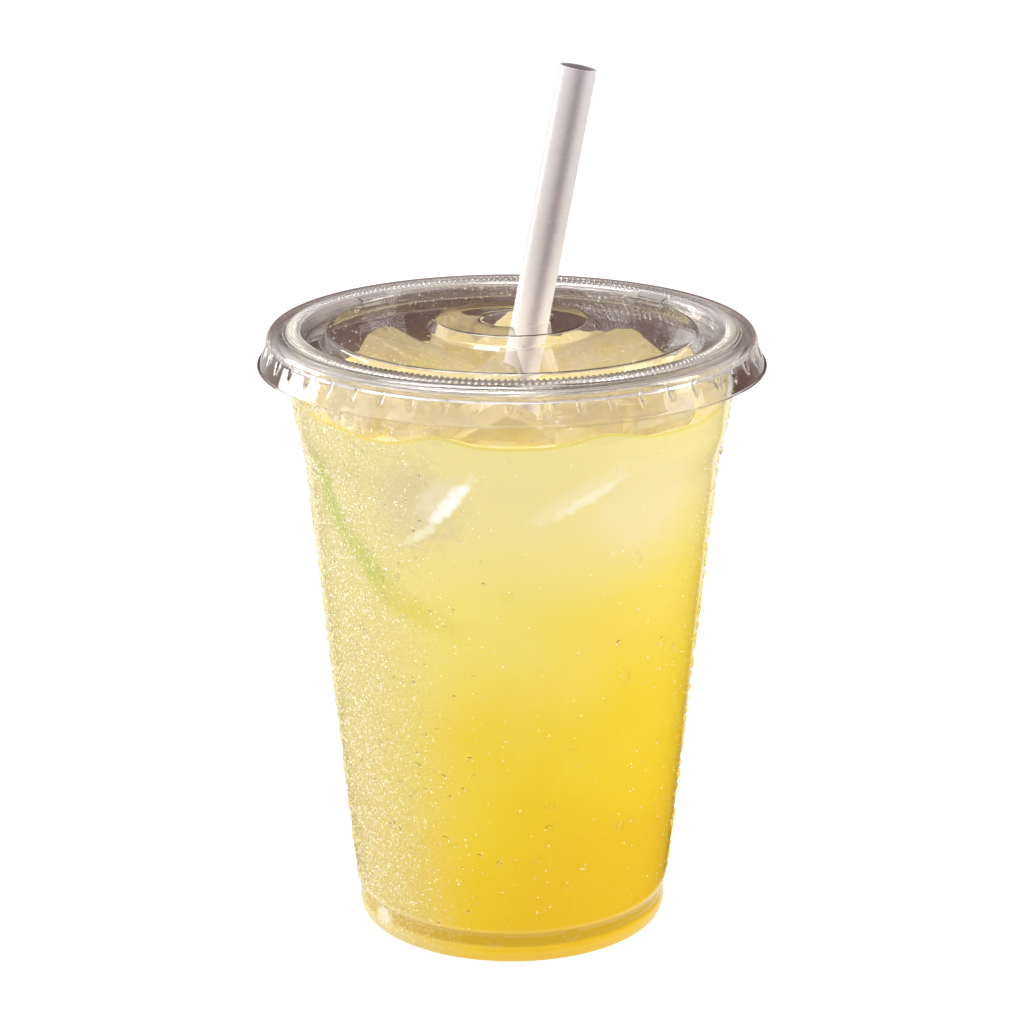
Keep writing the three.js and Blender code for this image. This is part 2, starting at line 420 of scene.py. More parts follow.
def makeCup():
    lower = softCorners(cupLook["outside"] + [(*cupLook["taperTop"], 0)])[:-1]
    taper = stepsBetween(lower[-1], cupLook["taperTop"], cupLook["taperRows"])
    upper = softCorners(cupLook["shoulders"])
    curl = arcPoints(*cupLook["curl"], 178, -60, 14)
    profile = lower + taper + softWall(0) + upper[:-1] + curl
    piece = spinProfile("clear_cup", profile, cupLook["steps"])
    giveWall(piece, cupLook["wall"], 1)  # the rolled rim turns this profile's normals inwards
    smoothShade(piece, 50)
    return piece


clearCup = makeCup()
report("cup made", len(clearCup.data.polygons))

# Lid
lidLook = {
    "columns": 672,              # 14 to each gripping dent and 3 to each rib
    "wall": 0.3,
    "skirtLip": [(51.5, 119.3), (51.28, 119.2), (51.12, 119.35)],
    "skirtFoot": (51.05, 119.7),
    "skirtTop": (49.75, 123.2),
    "skirtRows": 9,
    "bead": (47.5, 124.0, 2.25),
    "valley": (45.95, 125.45),
    "crest": (44.25, 122.9, 3.35),
    "crestFromDeg": 57,
    "crestToDeg": 118,
    "ribColumns": 3,
    "ribRise": 0.42,
    "ribReach": (42.9, 45.75),
    "ribFrom": 125.45,
    "channel": [
        (42.45, 125.3, 0.4), (42.2, 123.2, 0.7), (38.5, 123.2, 0.9),
        (37.7, 126.0, 0.9), (17.0, 126.1, 0.8), (15.5, 127.95, 0.8), (9.3, 127.95, 0),
    ],
    "holeRings": [(8.2, 127.95), (7.6, 127.9), (7.25, 127.7), (7.15, 127.1)],
    "holeShift": 0.7,
    "dents": 48,
    "dentHeights": (121.1, 124.7),
    "dentDepth": 0.8,
    "dentFoot": 0.6,             # half widths in columns, at the foot and growing upwards
    "dentFlare": 2.2,
    "skirtFrom": 49.0,
    "lugs": (45, 135, 225, 315),
    "lugHalfWidthDeg": 5.5,
    "lugShare": 0.966,
    "lugReach": (41.6, 42.8),
    "lugHeights": (123.25, 125.4),
    "holeEdge": 8.5,             # all within this is shifted with the hole
}


def makeLid():
    foot, top = lidLook["skirtFoot"], lidLook["skirtTop"]
    skirt = lidLook["skirtLip"] + [foot] + stepsBetween(foot, top, lidLook["skirtRows"])
    bead = arcPoints(*lidLook["bead"], -15, 128, 12)
    crest = arcPoints(*lidLook["crest"], lidLook["crestFromDeg"], lidLook["crestToDeg"], 8)
    channel = softCorners([(*crest[-1], 0)] + lidLook["channel"])[1:]
    profile = skirt + bead + [lidLook["valley"]] + crest + channel + lidLook["holeRings"]
    piece = spinProfile("clear_lid", profile, lidLook["columns"])
    denting(piece)
    lugging(piece)
    where = places(piece)
    reach = reachOf(where)
    shiftVertices(piece, reach < lidLook["holeEdge"], (lidLook["holeShift"] * mm, 0, 0))
    count = len(where)
    giveWall(piece, lidLook["wall"])
    ribbing(piece, count)
    smoothShade(piece, 50)
    return piece


def columnOf(where):
    return np.rint(turnOf(where) * lidLook["columns"] / 360).astype(int) % lidLook["columns"]


def denting(piece):
    # V-shaped dents, widest at the top and deepest in their middle
    where = places(piece)
    perDent = lidLook["columns"] // lidLook["dents"]
    offset = np.abs((columnOf(where) + perDent // 2) % perDent - perDent // 2)
    reach = reachOf(where)
    low, high = lidLook["dentHeights"]
    rise = (where[:, 2] / mm - low) / (high - low)
    halfWidth = lidLook["dentFoot"] + lidLook["dentFlare"] * np.clip(rise, 0, 1)
    across = np.clip(1 - offset / halfWidth, 0, 1)
    along = np.sin(math.pi * np.clip(rise * 1.1, 0, 1)) ** 0.7
    depth = lidLook["dentDepth"] * across * along * (reach > lidLook["skirtFrom"])
    share = 1 - depth / reach
    where[:, 0] *= share
    where[:, 1] *= share
    moveTo(piece, where)


def lugging(piece):
    # four blocks on the wall of the channel keep stacked lids apart
    where = places(piece)
    angle = turnOf(where)
    reach = reachOf(where)
    height = where[:, 2] / mm
    (inner, outer), (low, high) = lidLook["lugReach"], lidLook["lugHeights"]
    onWall = (reach > inner) & (reach < outer) & (height > low) & (height < high)
    near = np.zeros(len(where), dtype=bool)
    for middle in lidLook["lugs"]:
        near |= np.abs(angle - middle) < lidLook["lugHalfWidthDeg"]
    drawInVertices(piece, onWall & near, lidLook["lugShare"])


def ribbing(piece, count):
    # fine ribs across the outer face of the crest
    where = places(piece)
    reach = reachOf(where)
    height = where[:, 2] / mm
    inner, outer = lidLook["ribReach"]
    onTop = np.arange(len(where)) < count
    onCrest = onTop & (reach > inner) & (reach < outer) & (height > lidLook["ribFrom"])
    column = columnOf(where) % lidLook["ribColumns"]
    shiftVertices(piece, onCrest & (column == 0), (0, 0, lidLook["ribRise"] * mm))


clearLid = makeLid()
report("lid made", len(clearLid.data.polygons))

# Straw
strawLook = {
    "radius": 3.75,
    "wall": 0.4,
    "leanDeg": 10.3,
    "atPuck": 3.75,
    "puckHeight": 127.7,
    "top": 178.7,
    "bottom": 6.0,
    "shadeFromFront": 9,
    "shadeHalfWidth": 20,
    "steps": 72,
    "rows": 40,
}


def makeStraw():
    # made upright through the origin, then leant and moved to the hole
    stretch = 1 / math.cos(math.radians(strawLook["leanDeg"]))
    low, high = strawLook["bottom"] * stretch, strawLook["top"] * stretch
    outer, inner = strawLook["radius"], strawLook["radius"] - strawLook["wall"]
    edge = strawLook["wall"] / 2
    topArc = arcPoints(outer - edge, high - edge, edge, 0, 180, 6)
    bottomArc = arcPoints(outer - edge, low + edge, edge, 180, 360, 6)
    side = stepsBetween((outer, low + edge), (outer, high - edge), strawLook["rows"])
    back = stepsBetween((inner, high - edge), (inner, low + edge), strawLook["rows"])
    profile = bottomArc + side + topArc + back + [bottomArc[0]]
    piece = spinProfile("drinking_straw", profile, strawLook["steps"])
    # marks the inside, and a band of painted shade that runs down the front of the frosted tube
    where = places(piece)
    reach = reachOf(where)
    markVertices(piece, "inside", np.where(reach < inner + 0.05, 1.0, 0.0))
    direction = np.degrees(np.arctan2(where[:, 0], -where[:, 1])) - strawLook["shadeFromFront"]
    markVertices(piece, "shade", np.exp(-(direction / strawLook["shadeHalfWidth"]) ** 2))
    makeActive(piece)
    lean = math.radians(strawLook["leanDeg"])
    piece.rotation_euler = (0, lean, 0)
    piece.location = ((strawLook["atPuck"] - math.tan(lean) * strawLook["puckHeight"]) * mm, 0, 0)
    bpy.ops.object.transform_apply(location=True, rotation=True, scale=True)
    smoothShade(piece, 50)
    return piece


drinkingStraw = makeStraw()
report("straw made", len(drinkingStraw.data.polygons))

# Drink
drinkLook = {
    "steps": 240,
    "level": 112.2,
    "intoWall": 0.15,
    "underHeel": 0.12,
    "taperRows": 24,
    "wetRise": 0.9,              # how far the edge of the drink climbs the wall
    "wetWidth": 1.9,
    "rings": 16,
    "ripple": 0.18,
    "waves": [
        # direction from the front to the right in degrees, rise and half width
        (-19, 1.7, 7.5), (24, 1.9, 9), (-36, -0.7, 9), (75, 1.0, 12),
        (-75, 0.8, 14), (120, 1.1, 11), (165, 0.9, 14), (-140, 1.2, 13),
    ],
}


def drinkSide():
    # the inside of the cup, a little into its wall
    inset = cupLook["wall"] - drinkLook["intoWall"]
    heel = drinkLook["underHeel"]
    base = cupLook["outside"][0][1] + inset
    low = [
        (0.0, base, 0), (25.1, base, 0.8), (27.7, heel, 0.8),
        (30.7, heel, 0.5), (32.0 - heel, 0.55 + heel / 2, 0.8), (32.45 - heel, 2.1, 1.0),
        (32.4 - heel, 3.3, 0.6), (32.2 - heel, 4.1, 0.6), (32.2 - heel, 6.0, 1.2),
        (32.95 - inset, 7.9, 2.0), (cupLook["taperTop"][0] - inset, cupLook["taperTop"][1], 0),
    ]
    lower = softCorners(low)[:-1]
    taper = stepsBetween(lower[-1], softWall(inset)[0], drinkLook["taperRows"])
    (lowRadius, lowest, _), (highRadius, highest, _) = cupLook["shoulders"][:2]
    share = (drinkLook["level"] - lowest) / (highest - lowest)
    topRadius = lowRadius + share * (highRadius - lowRadius) - inset
    top = [(lowRadius - inset, lowest), (topRadius, drinkLook["level"])]
    return lower + taper + softWall(inset) + top


def makeDrink():
    side = drinkSide()
    edgeRadius = side[-1][0]
    level, rise = drinkLook["level"], drinkLook["wetRise"]
    meniscus = [
        (edgeRadius - drinkLook["wetWidth"] * (1 - t) ** 0.5, level + rise * t ** 2.2)
        for t in (1.0, 0.85, 0.65, 0.45, 0.25, 0.0)
    ]
    rings = drinkLook["rings"]
    surface = [(meniscus[-1][0] * (1 - i / rings), level) for i in range(1, rings + 1)]
    piece = spinProfile("lemon_drink", side + meniscus + surface, drinkLook["steps"])
    where = places(piece)
    reach = reachOf(where)
    angle = np.degrees(np.arctan2(where[:, 0], -where[:, 1]))
    top = where[:, 2] / mm > level - 0.05
    lift = np.zeros(len(where))
    for direction, height, halfWidth in drinkLook["waves"]:
        away = (angle - direction + 180) % 360 - 180
        lift += height * np.exp(-(away / halfWidth) ** 2)
    # how far each place lies below the drink's edge, for the line along it
    below = (level + rise + lift) * mm - where[:, 2] - lift * top * mm
    markVertices(piece, "belowEdge", below)
    lift *= np.clip((reach - 24) / 18, 0, 1) ** 2
    across, inward = where[:, 0] / mm, where[:, 1] / mm
    ripple = drinkLook["ripple"] * np.sin(across * 0.9) * np.cos(inward * 0.8 + 1)
    where[top, 2] += (lift + ripple * np.clip((42 - reach) / 6, 0, 1))[top] * mm
    moveTo(piece, where)
    smoothShade(piece, 60)
    return piece


lemonDrink = makeDrink()
report("drink made", len(lemonDrink.data.polygons))

# Ice that stands out of the drink
iceLook = {
    # middle, size and turn about X, Y and Z in degrees
    "ice_front_left": ((-18.6, -19.4, 101.2), (26, 24, 25), (14, -12, 40)),
    "ice_front_right": ((18.8, -19.2, 101.0), (27, 24, 25), (-12, 16, -38)),
    "ice_right": ((25.0, 9.2, 107.8), (24, 25, 23), (10, -22, 12)),
    "ice_back": ((0.4, 27.0, 107.0), (26, 24, 24), (18, 10, 4)),
    "ice_left": ((-22.6, 10.8, 107.4), (24, 23, 23), (-10, 20, -28)),
}
# broken bits that float between the blocks and the wall
chipLook = [
    ((-2.0, -32.5, 113.6), (17, 13, 15), (20, 35, 10)),
    ((12.5, -31.5, 114.0), (15, 12, 14), (-15, 20, 40)),
    ((-15.0, -30.5, 114.8), (16, 12, 14), (35, -20, 25)),
    ((-27.0, -23.0, 114.0), (16, 13, 15), (10, 30, 50)),
    ((25.5, -23.5, 113.6), (16, 13, 15), (-30, 15, 35)),
    ((-34.5, -8.0, 112.8), (13, 15, 14), (25, 10, 15)),
    ((34.5, -7.5, 112.8), (13, 15, 14), (15, -25, 30)),
    ((-10.0, 30.0, 114.4), (15, 12, 13), (-20, 15, 20)),
    ((16.0, 32.5, 110.6), (13, 11, 11), (15, 25, -30)),
    ((-2.5, -14.0, 113.6), (16, 13, 13), (30, 20, 60)),
]
meltLook = {
    "cuts": 9,
    "cutReach": (0.92, 1.22),     # how far out the corners are broken off, in half sizes
    "voxel": 0.6,
    "smoothing": 4,
    "lumps": (0.0075, 1.5),       # size in metres and rise in mm
    "chips": (0.0045, 1.1),
    "wallGap": 1.0,
    "room": [(7, 32.9), (100.4, 42.25), (109.6, 44.2), (119.0, 45.3)],    # height and radius
    "deckReach": 36.5,
    "underDeck": 124.6,
    "underRim": 121.8,
}


def makeIce(name, shape, seed, lumps):
    middle, size, turned = shape
    chance = random.Random(seed)
    startPiece()
    bpy.ops.mesh.primitive_cube_add(
        size=1,
        location=[value * mm for value in middle],
        rotation=[math.radians(value) for value in turned],
        scale=[value * mm for value in size],
    )
    piece = bpy.context.object
    settle(piece, name)
    editMode()
    for cut in range(meltLook["cuts"]):
        away = Vector([chance.uniform(-1, 1) for axis in range(3)]).normalized()
        reach = chance.uniform(*meltLook["cutReach"]) * min(size) / 2
        bpy.ops.mesh.select_all(action="SELECT")
        bpy.ops.mesh.bisect(
            plane_co=(Vector(middle) + away * reach) * mm, plane_no=away,
            use_fill=True, clear_outer=True,
        )
    objectMode()
    even = piece.modifiers.new("Even", "REMESH")
    even.mode = "VOXEL"
    even.voxel_size = meltLook["voxel"] * mm
    soft = piece.modifiers.new("Soft", "SMOOTH")
    soft.factor = 0.5
    soft.iterations = meltLook["smoothing"]
    clouds = bpy.data.textures.new(name + "_lumps", "CLOUDS")
    clouds.noise_scale, rise = lumps
    clouds.noise_depth = 1
    melt = piece.modifiers.new("Melt", "DISPLACE")
    melt.texture = clouds
    melt.texture_coords = "GLOBAL"
    melt.strength = rise * mm
    melt.mid_level = 0.5
    applyAll(piece)
    keepInCup(piece)
    smoothShade(piece, 60)
    return piece


def keepInCup(piece):
    # flattens what would stand through the wall or the lid
    where = places(piece)
    reach = reachOf(where)
    room = np.interp(where[:, 2] / mm, *zip(*meltLook["room"]))
    share = np.minimum(1, (room - meltLook["wallGap"]) / np.maximum(reach, 1))
    where[:, 0] *= share
    where[:, 1] *= share
    onDeck = reach < meltLook["deckReach"]
    ceiling = np.where(onDeck, meltLook["underDeck"], meltLook["underRim"]) * mm
    where[:, 2] = np.minimum(where[:, 2], ceiling)
    moveTo(piece, where)


def joinPieces(pieces, name):
    startPiece()
    for piece in pieces:
        piece.select_set(True)
    bpy.context.view_layer.objects.active = pieces[0]
    bpy.ops.object.join()
    pieces[0].name = pieces[0].data.name = name
    return pieces[0]


icePieces = {}
for seed, (name, shape) in enumerate(iceLook.items(), start=3):
    icePieces[name] = makeIce(name + "_melted", shape, seed, meltLook["lumps"])
chips = [
    makeIce(f"chip{seed}", shape, seed, meltLook["chips"])
    for seed, shape in enumerate(chipLook, start=20)
]
iceChips = joinPieces(chips, "ice_chips")
report("ice made", sum(len(piece.data.polygons) for piece in [*icePieces.values(), iceChips]))

# Water on the outside of the cup and on the lid
waterLook = {
    "seed": 41,
    # sizes and heights in mm, and directions from the front to the right in degrees
    "fine": {"count": 8200, "size": (0.08, 0.28), "heights": (7.5, 117)},
    "beads": {
        "count": 1500, "size": (0.25, 0.55), "heights": (5, 116), "stretch": (0.9, 1.4),
        "spread": (-74, 22),
    },
    "edgeBeads": {
        "count": 420, "size": (0.45, 0.9), "heights": (8, 117), "stretch": (1, 1.4),
        "sides": (-88, 88), "spread": (0, 5),
    },
    "lidSpots": {"count": 420, "size": (0.08, 0.26), "reach": (16.5, 21, 36.8), "height": 126.03},
    # most of the mist is on the left, some on the right edge and a little everywhere
    "mistLeft": (-72, 20),
    "mistRight": (90, 12),
    "mistShares": (0.82, 0.92),
    # sides, rings, contact angle in degrees and depth of the root
    "mistDome": (6, 2, 38, 0.6),
    "beadDome": (9, 3, 54, 0.6),
    "spotDome": (8, 2, 40, 0.2),
    "dropDome": (32, 8, 40, 0.6),
    "into": 0.02,
    # outside of the cup: height and radius, for what sits on it
    "wallLine": [
        (0.6, 31.9), (2.1, 32.45), (3.3, 32.4), (4.1, 32.2), (6.2, 32.2), (7.6, 32.9),
        (100.4, 42.25), (101.4, 42.8), (104.4, 43.1), (105.2, 43.5), (109.6, 44.2), (119.0, 45.3),
    ],
    # direction from the front to the right in degrees, height, radius and stretch
    "drops": [
        (-46.8, 45.5, 0.7, 1.6), (-45.2, 44.0, 0.6, 1.2), (-44.1, 28.2, 0.8, 1.3),
        (-41.5, 26.9, 0.9, 1.1), (-22.6, 27.6, 0.8, 1.0), (-19.8, 26.5, 1.0, 1.1),
        (-13.3, 46.4, 0.6, 1.0), (-22.1, 41.8, 0.6, 1.0), (-15.9, 39.5, 0.5, 1.0),
        (-45.2, 6.1, 0.9, 1.3), (-40.6, 5.2, 1.0, 1.1), (-6.4, 5.1, 1.75, 1.05),
        (22.6, 5.4, 1.75, 1.0), (-1.2, 82.1, 1.3, 1.2), (37.2, 87.5, 1.2, 1.2),
        (32.4, 70.0, 0.6, 1.0), (50.3, 67.1, 1.1, 1.3), (57.4, 64.6, 0.8, 1.2),
        (35.8, 62.8, 1.5, 1.2), (18.6, 48.2, 1.2, 1.0), (12.1, 36.4, 1.2, 1.1),
        (12.3, 30.9, 0.9, 1.0), (39.0, 28.5, 1.1, 1.0), (8.2, 24.3, 1.2, 1.1),
        (110, 60, 1.2, 1.2), (150, 38, 1.4, 1.1), (-160, 72, 1.3, 1.2),
        (-120, 30, 1.1, 1.3), (80, 20, 1.0, 1.1), (178, 18, 1.2, 1.0),
    ],
}


def wallRadius(height):
    return float(np.interp(height, *zip(*waterLook["wallLine"])))


def domeShape(sides, rings, contactDeg):
    # a unit drop that bulges along +Y and meets its wall at the contact angle
    points, faces = [(0.0, 0.0, 0.0)], []
    contact = math.radians(contactDeg)
    for ring in range(rings):
        tilt = contact * (1 - ring / rings)
        spread = math.sin(tilt) / math.sin(contact)
        rise = (math.cos(tilt) - math.cos(contact)) / math.sin(contact)
        for k in range(sides):
            angle = turn * k / sides
            points.append((spread * math.cos(angle), rise, spread * math.sin(angle)))
    points.append((0.0, (1 - math.cos(contact)) / math.sin(contact), 0.0))
    last = len(points) - 1
    for k in range(sides):
        after = (k + 1) % sides
        faces.append((0, 1 + k, 1 + after))
        for ring in range(rings - 1):
            low, high = 1 + ring * sides, 1 + (ring + 1) * sides
            faces.append((low + k, high + k, high + after, low + after))
        top = 1 + (rings - 1) * sides
        faces.append((top + k, last, top + after))
    return np.array(points), faces


def scatterDrops(name, spots, sides, rings, contactDeg, root):
    # spots are (middle, outward direction, radius, stretch along the slope), and each drop's
    # root reaches through the plastic to the drink behind it
    shape, shapeFaces = domeShape(sides, rings, contactDeg)
    points, faces = [], []
    for middle, outward, radius, stretch in spots:
        out = Vector(outward).normalized()
        across = out.cross(Vector((0, 0, 1)))
        across = across.normalized() if across.length > 0.01 else Vector((1, 0, 0))
        up = across.cross(out)
        axes = np.array([across, out, up])
        sized = shape * np.array([radius, radius, radius * stretch])
        sized[0, 1] = -root
        base = len(points) * len(shape)
        points.append(sized @ axes + np.array(middle))
        faces += [tuple(base + corner for corner in face) for face in shapeFaces]
    mesh = bpy.data.meshes.new(name)
    mesh.from_pydata((np.concatenate(points) * mm).tolist(), [], faces)
    piece = placeNew(name, mesh)
    makeActive(piece)
    editMode()
    bpy.ops.mesh.select_all(action="SELECT")
    bpy.ops.mesh.normals_make_consistent(inside=False)
    objectMode()
    smoothShade(piece, 50)
    return piece


def onWall(direction, height, radius, stretch=1.0):
    angle = math.radians(direction)
    outward = (math.sin(angle), -math.cos(angle), -0.1)
    reach = wallRadius(height) - waterLook["into"]
    return ((reach * outward[0], reach * outward[1], height), outward, radius, stretch)


def mistDirection(chance):
    pick = chance.random()
    left, leftAndRight = waterLook["mistShares"]
    if pick < left:
        return chance.gauss(*waterLook["mistLeft"])
    if pick < leftAndRight:
        return chance.gauss(*waterLook["mistRight"])
    return chance.uniform(-180, 180)


def makeWater():
    chance = random.Random(waterLook["seed"])
    fine, beads, lidSpots = [], [], []
    look = waterLook["fine"]
    for i in range(look["count"]):
        size = chance.uniform(*look["size"])
        fine.append(onWall(mistDirection(chance), chance.uniform(*look["heights"]), size))
    look = waterLook["beads"]
    for i in range(look["count"]):
        size, stretch = chance.uniform(*look["size"]), chance.uniform(*look["stretch"])
        direction = chance.gauss(*look["spread"])
        beads.append(onWall(direction, chance.uniform(*look["heights"]), size, stretch))
    look = waterLook["edgeBeads"]
    for i in range(look["count"]):
        size = chance.uniform(*look["size"])
        direction = chance.choice(look["sides"]) + chance.gauss(*look["spread"])
        height, stretch = chance.uniform(*look["heights"]), chance.uniform(*look["stretch"])
        beads.append(onWall(direction, height, size, stretch))
    look = waterLook["lidSpots"]
    inner, width, furthest = look["reach"]
    for i in range(look["count"]):
        angle, reach = chance.uniform(0, turn), inner + width * math.sqrt(chance.random())
        reach = min(reach, furthest)
        size = chance.uniform(*look["size"])
        middle = (reach * math.cos(angle), reach * math.sin(angle), look["height"])
        lidSpots.append((middle, (0, 0.001, 1), size, 1.0))
    drops = [onWall(*spot) for spot in waterLook["drops"]]
    return {
        "mist": scatterDrops("fine_mist", fine, *waterLook["mistDome"]),
        "beads": scatterDrops("water_beads", beads, *waterLook["beadDome"]),
        "lidSpots": scatterDrops("lid_spots", lidSpots, *waterLook["spotDome"]),
        "drops": scatterDrops("large_drops", drops, *waterLook["dropDome"]),
    }


waterPieces = makeWater()
report("water made", sum(len(piece.data.polygons) for piece in waterPieces.values()))

# Slice of citrus that leans against the wall inside the drink
citrusLook = {
    # direction from the front to the right in degrees and height, along the rind
    "line": [
        (-63.5, 107.0), (-63.0, 101.5), (-61.0, 96.5), (-53.0, 90.4), (-43.5, 84.0),
        (-36.5, 79.5), (-27.0, 76.6), (-15.0, 74.2), (-2.0, 72.9),
    ],
    "halfWidth": 4.6,
    "steps": 64,
    "rows": 8,
    "underWall": 0.4,
    "swell": 0.1,
    "meanRadius": 40,
    "tones": (colour(184, 198, 96), colour(220, 208, 98)),
    "toneRamp": (0.45, 0.75),
    "glow": 0.3,
    "cloud": (0.22, 0.52),
}


def makeCitrus():
    # a strip bent along the wall, a little in front of the drink's own skin
    startPiece()
    bpy.ops.mesh.primitive_grid_add(
        x_subdivisions=citrusLook["steps"], y_subdivisions=citrusLook["rows"], size=1,
    )
    piece = bpy.context.object
    settle(piece, "citrus_slice")
    where = places(piece)
    along, across = where[:, 0] + 0.5, where[:, 1] * 2
    line = np.array(citrusLook["line"])
    marks = np.linspace(0, 1, len(line))
    direction = np.radians(np.interp(along, marks, line[:, 0]))
    height = np.interp(along, marks, line[:, 1])
    slope = np.gradient(line[:, 1], marks) / np.hypot(
        np.gradient(line[:, 1], marks),
        np.gradient(np.radians(line[:, 0]) * citrusLook["meanRadius"], marks),
    )
    leaning = np.interp(along, marks, slope)
    width = citrusLook["halfWidth"] * across
    direction = direction - width * leaning / citrusLook["meanRadius"]
    height = height + width * np.sqrt(1 - leaning ** 2)
    taper = [(cupLook["outside"][-1][0], cupLook["outside"][-1][1])] + softWall(0)
    reach = np.interp(height, [point[1] for point in taper], [point[0] for point in taper])
    reach += citrusLook["swell"] * (1 - across ** 2) - citrusLook["underWall"]
    where[:, 0] = reach * np.sin(direction)
    where[:, 1] = -reach * np.cos(direction)
    where[:, 2] = height
    moveTo(piece, where * mm)
    smoothShade(piece, 60)
    return piece


citrusSlice = makeCitrus()
report("citrus made", len(citrusSlice.data.polygons))

# Finishes
cupPlastic = clearFinish("Clear cup plastic", {
    "lets": (0.99, 0.99, 0.985, 1), "clear": 1.0, "ior": 1.5,
    "grainScale": 320, "rough": 0.02, "rougher": 0.07,
    "tint": (1, 1, 1, 1), "tintDeep": (0.985, 0.98, 0.97, 1),
    "waveScale": 260, "waveStrength": 0.25, "waveDepth": 0.08,
})
lidPlastic = clearFinish("Clear lid plastic", {
    "lets": (0.985, 0.98, 0.975, 1), "clear": 1.0, "ior": 1.5,
    "grainScale": 180, "rough": 0.0, "rougher": 0.04,
    "tint": (1, 1, 1, 1), "tintDeep": (0.98, 0.975, 0.97, 1),
    "waveScale": 90, "waveStrength": 0.2, "waveDepth": 0.12,
})


# painted glow on the lid's ribbed rim: ramps in metres from the axis and upwards, and along the
# share of facing the viewer
rimGlowPaint = {
    "begins": (0.0422, 0.0432),
    "heights": (0.1218, 0.1235),
    "front": (-0.93, -0.5),
    "frontShare": 0.4,
    "ribsInner": (0.0426, 0.0432),
    "ribsOuter": (0.0462, 0.0456),
    "streaks": (-0.5, 0.8),
    "between": (0.5, 0.43, 0.41, 1),
    "onRib": (1, 0.93, 0.9, 1),
    "glow": 0.05,
}


def paintRimGlow(material):
    # painted glow on the ribbed ring of the lid, in streaks along its ribs, more at its sides and
    # back than in front
    tree = material.node_tree
    glass = next(node for node in tree.nodes if node.type == "BSDF_PRINCIPLED")
    axes = axesOf(tree, -1400, 900)
    reach = reachNode(tree, -1000, 900, axes)
    facing = mathNode(tree, "DIVIDE", -600, 700, axes["Y"], reach)
    ring = times(
        tree, -400, 900,
        rangeNode(tree, -600, 900, reach, *rimGlowPaint["begins"]),
        rangeNode(tree, -600, 1100, axes["Z"], *rimGlowPaint["heights"]),
    )
    front = rangeNode(tree, -400, 700, facing, *rimGlowPaint["front"], rimGlowPaint["frontShare"])
    ring = times(tree, -200, 900, ring, front)
    angle = mathNode(tree, "ARCTAN2", -1000, 1300, axes["Y"], axes["X"])
    ribs = lidLook["columns"] / lidLook["ribColumns"]
    wave = mathNode(tree, "COSINE", -600, 1300, times(tree, -800, 1300, angle, ribs))
    onRibs = times(
        tree, -400, 1300,
        rangeNode(tree, -600, 1500, reach, *rimGlowPaint["ribsInner"]),
        rangeNode(tree, -600, 1700, reach, *rimGlowPaint["ribsOuter"]),
    )
    streak = times(tree, -300, 1300, wave, onRibs)
    streak = rangeNode(tree, -200, 1300, streak, *rimGlowPaint["streaks"])
    glow = blendColours(tree, 0, 900, streak, rimGlowPaint["between"], rimGlowPaint["onRib"])
    glow = blendColours(tree, 200, 900, ring, (0, 0, 0, 1), glow)
    join(tree, glow, glass.inputs["Emission Color"])
    glass.inputs["Emission Strength"].default_value = rimGlowPaint["glow"]


paintRimGlow(lidPlastic)
iceFinish = clearFinish("Wet ice", {
    "lets": (0.97, 0.95, 0.88, 1), "clear": 0.62, "ior": 1.31,
    "grainScale": 260, "rough": 0.03, "rougher": 0.2,
    "tint": colour(238, 230, 210), "tintDeep": colour(226, 212, 178),
    "waveScale": 340, "waveStrength": 0.7, "waveDepth": 0.6,
})
waterFinish = clearFinish("Water", {
    "lets": (0.99, 0.99, 0.98, 1), "clear": 1.0, "ior": 1.33,
    "grainScale": 500, "rough": 0.0, "rougher": 0.03,
    "tint": (1, 1, 1, 1), "tintDeep": (0.99, 0.99, 0.98, 1),
    "waveScale": 400, "waveStrength": 0.05, "waveDepth": 0.02,
})
mistFinish = clearFinish("Fine mist", {
    # painted glow on the mist and lid spots, for the light they scatter
    "glow": 0.09,
    "lets": (0.99, 0.99, 0.98, 1), "clear": 0.82, "ior": 1.2,
    "grainScale": 500, "rough": 0.05, "rougher": 0.2,
    "tint": (1, 0.98, 0.93, 1), "tintDeep": (0.97, 0.95, 0.9, 1),
    "waveScale": 400, "waveStrength": 0.05, "waveDepth": 0.02,
})


frostLook = {
    "tones": (colour(227, 220, 225), colour(234, 229, 232)),
    "paintedShadeBand": (colour(168, 154, 164), 0.85),
    "hollowShade": (colour(140, 128, 134), 0.8),
    "rough": (0.22, 0.34),
    "paintedGlowHeights": (0.145, 0.125),
    "glow": 0.28,
    "soft": 0.15,
    "softReach": (0.0012, 0.001, 0.0011),
}


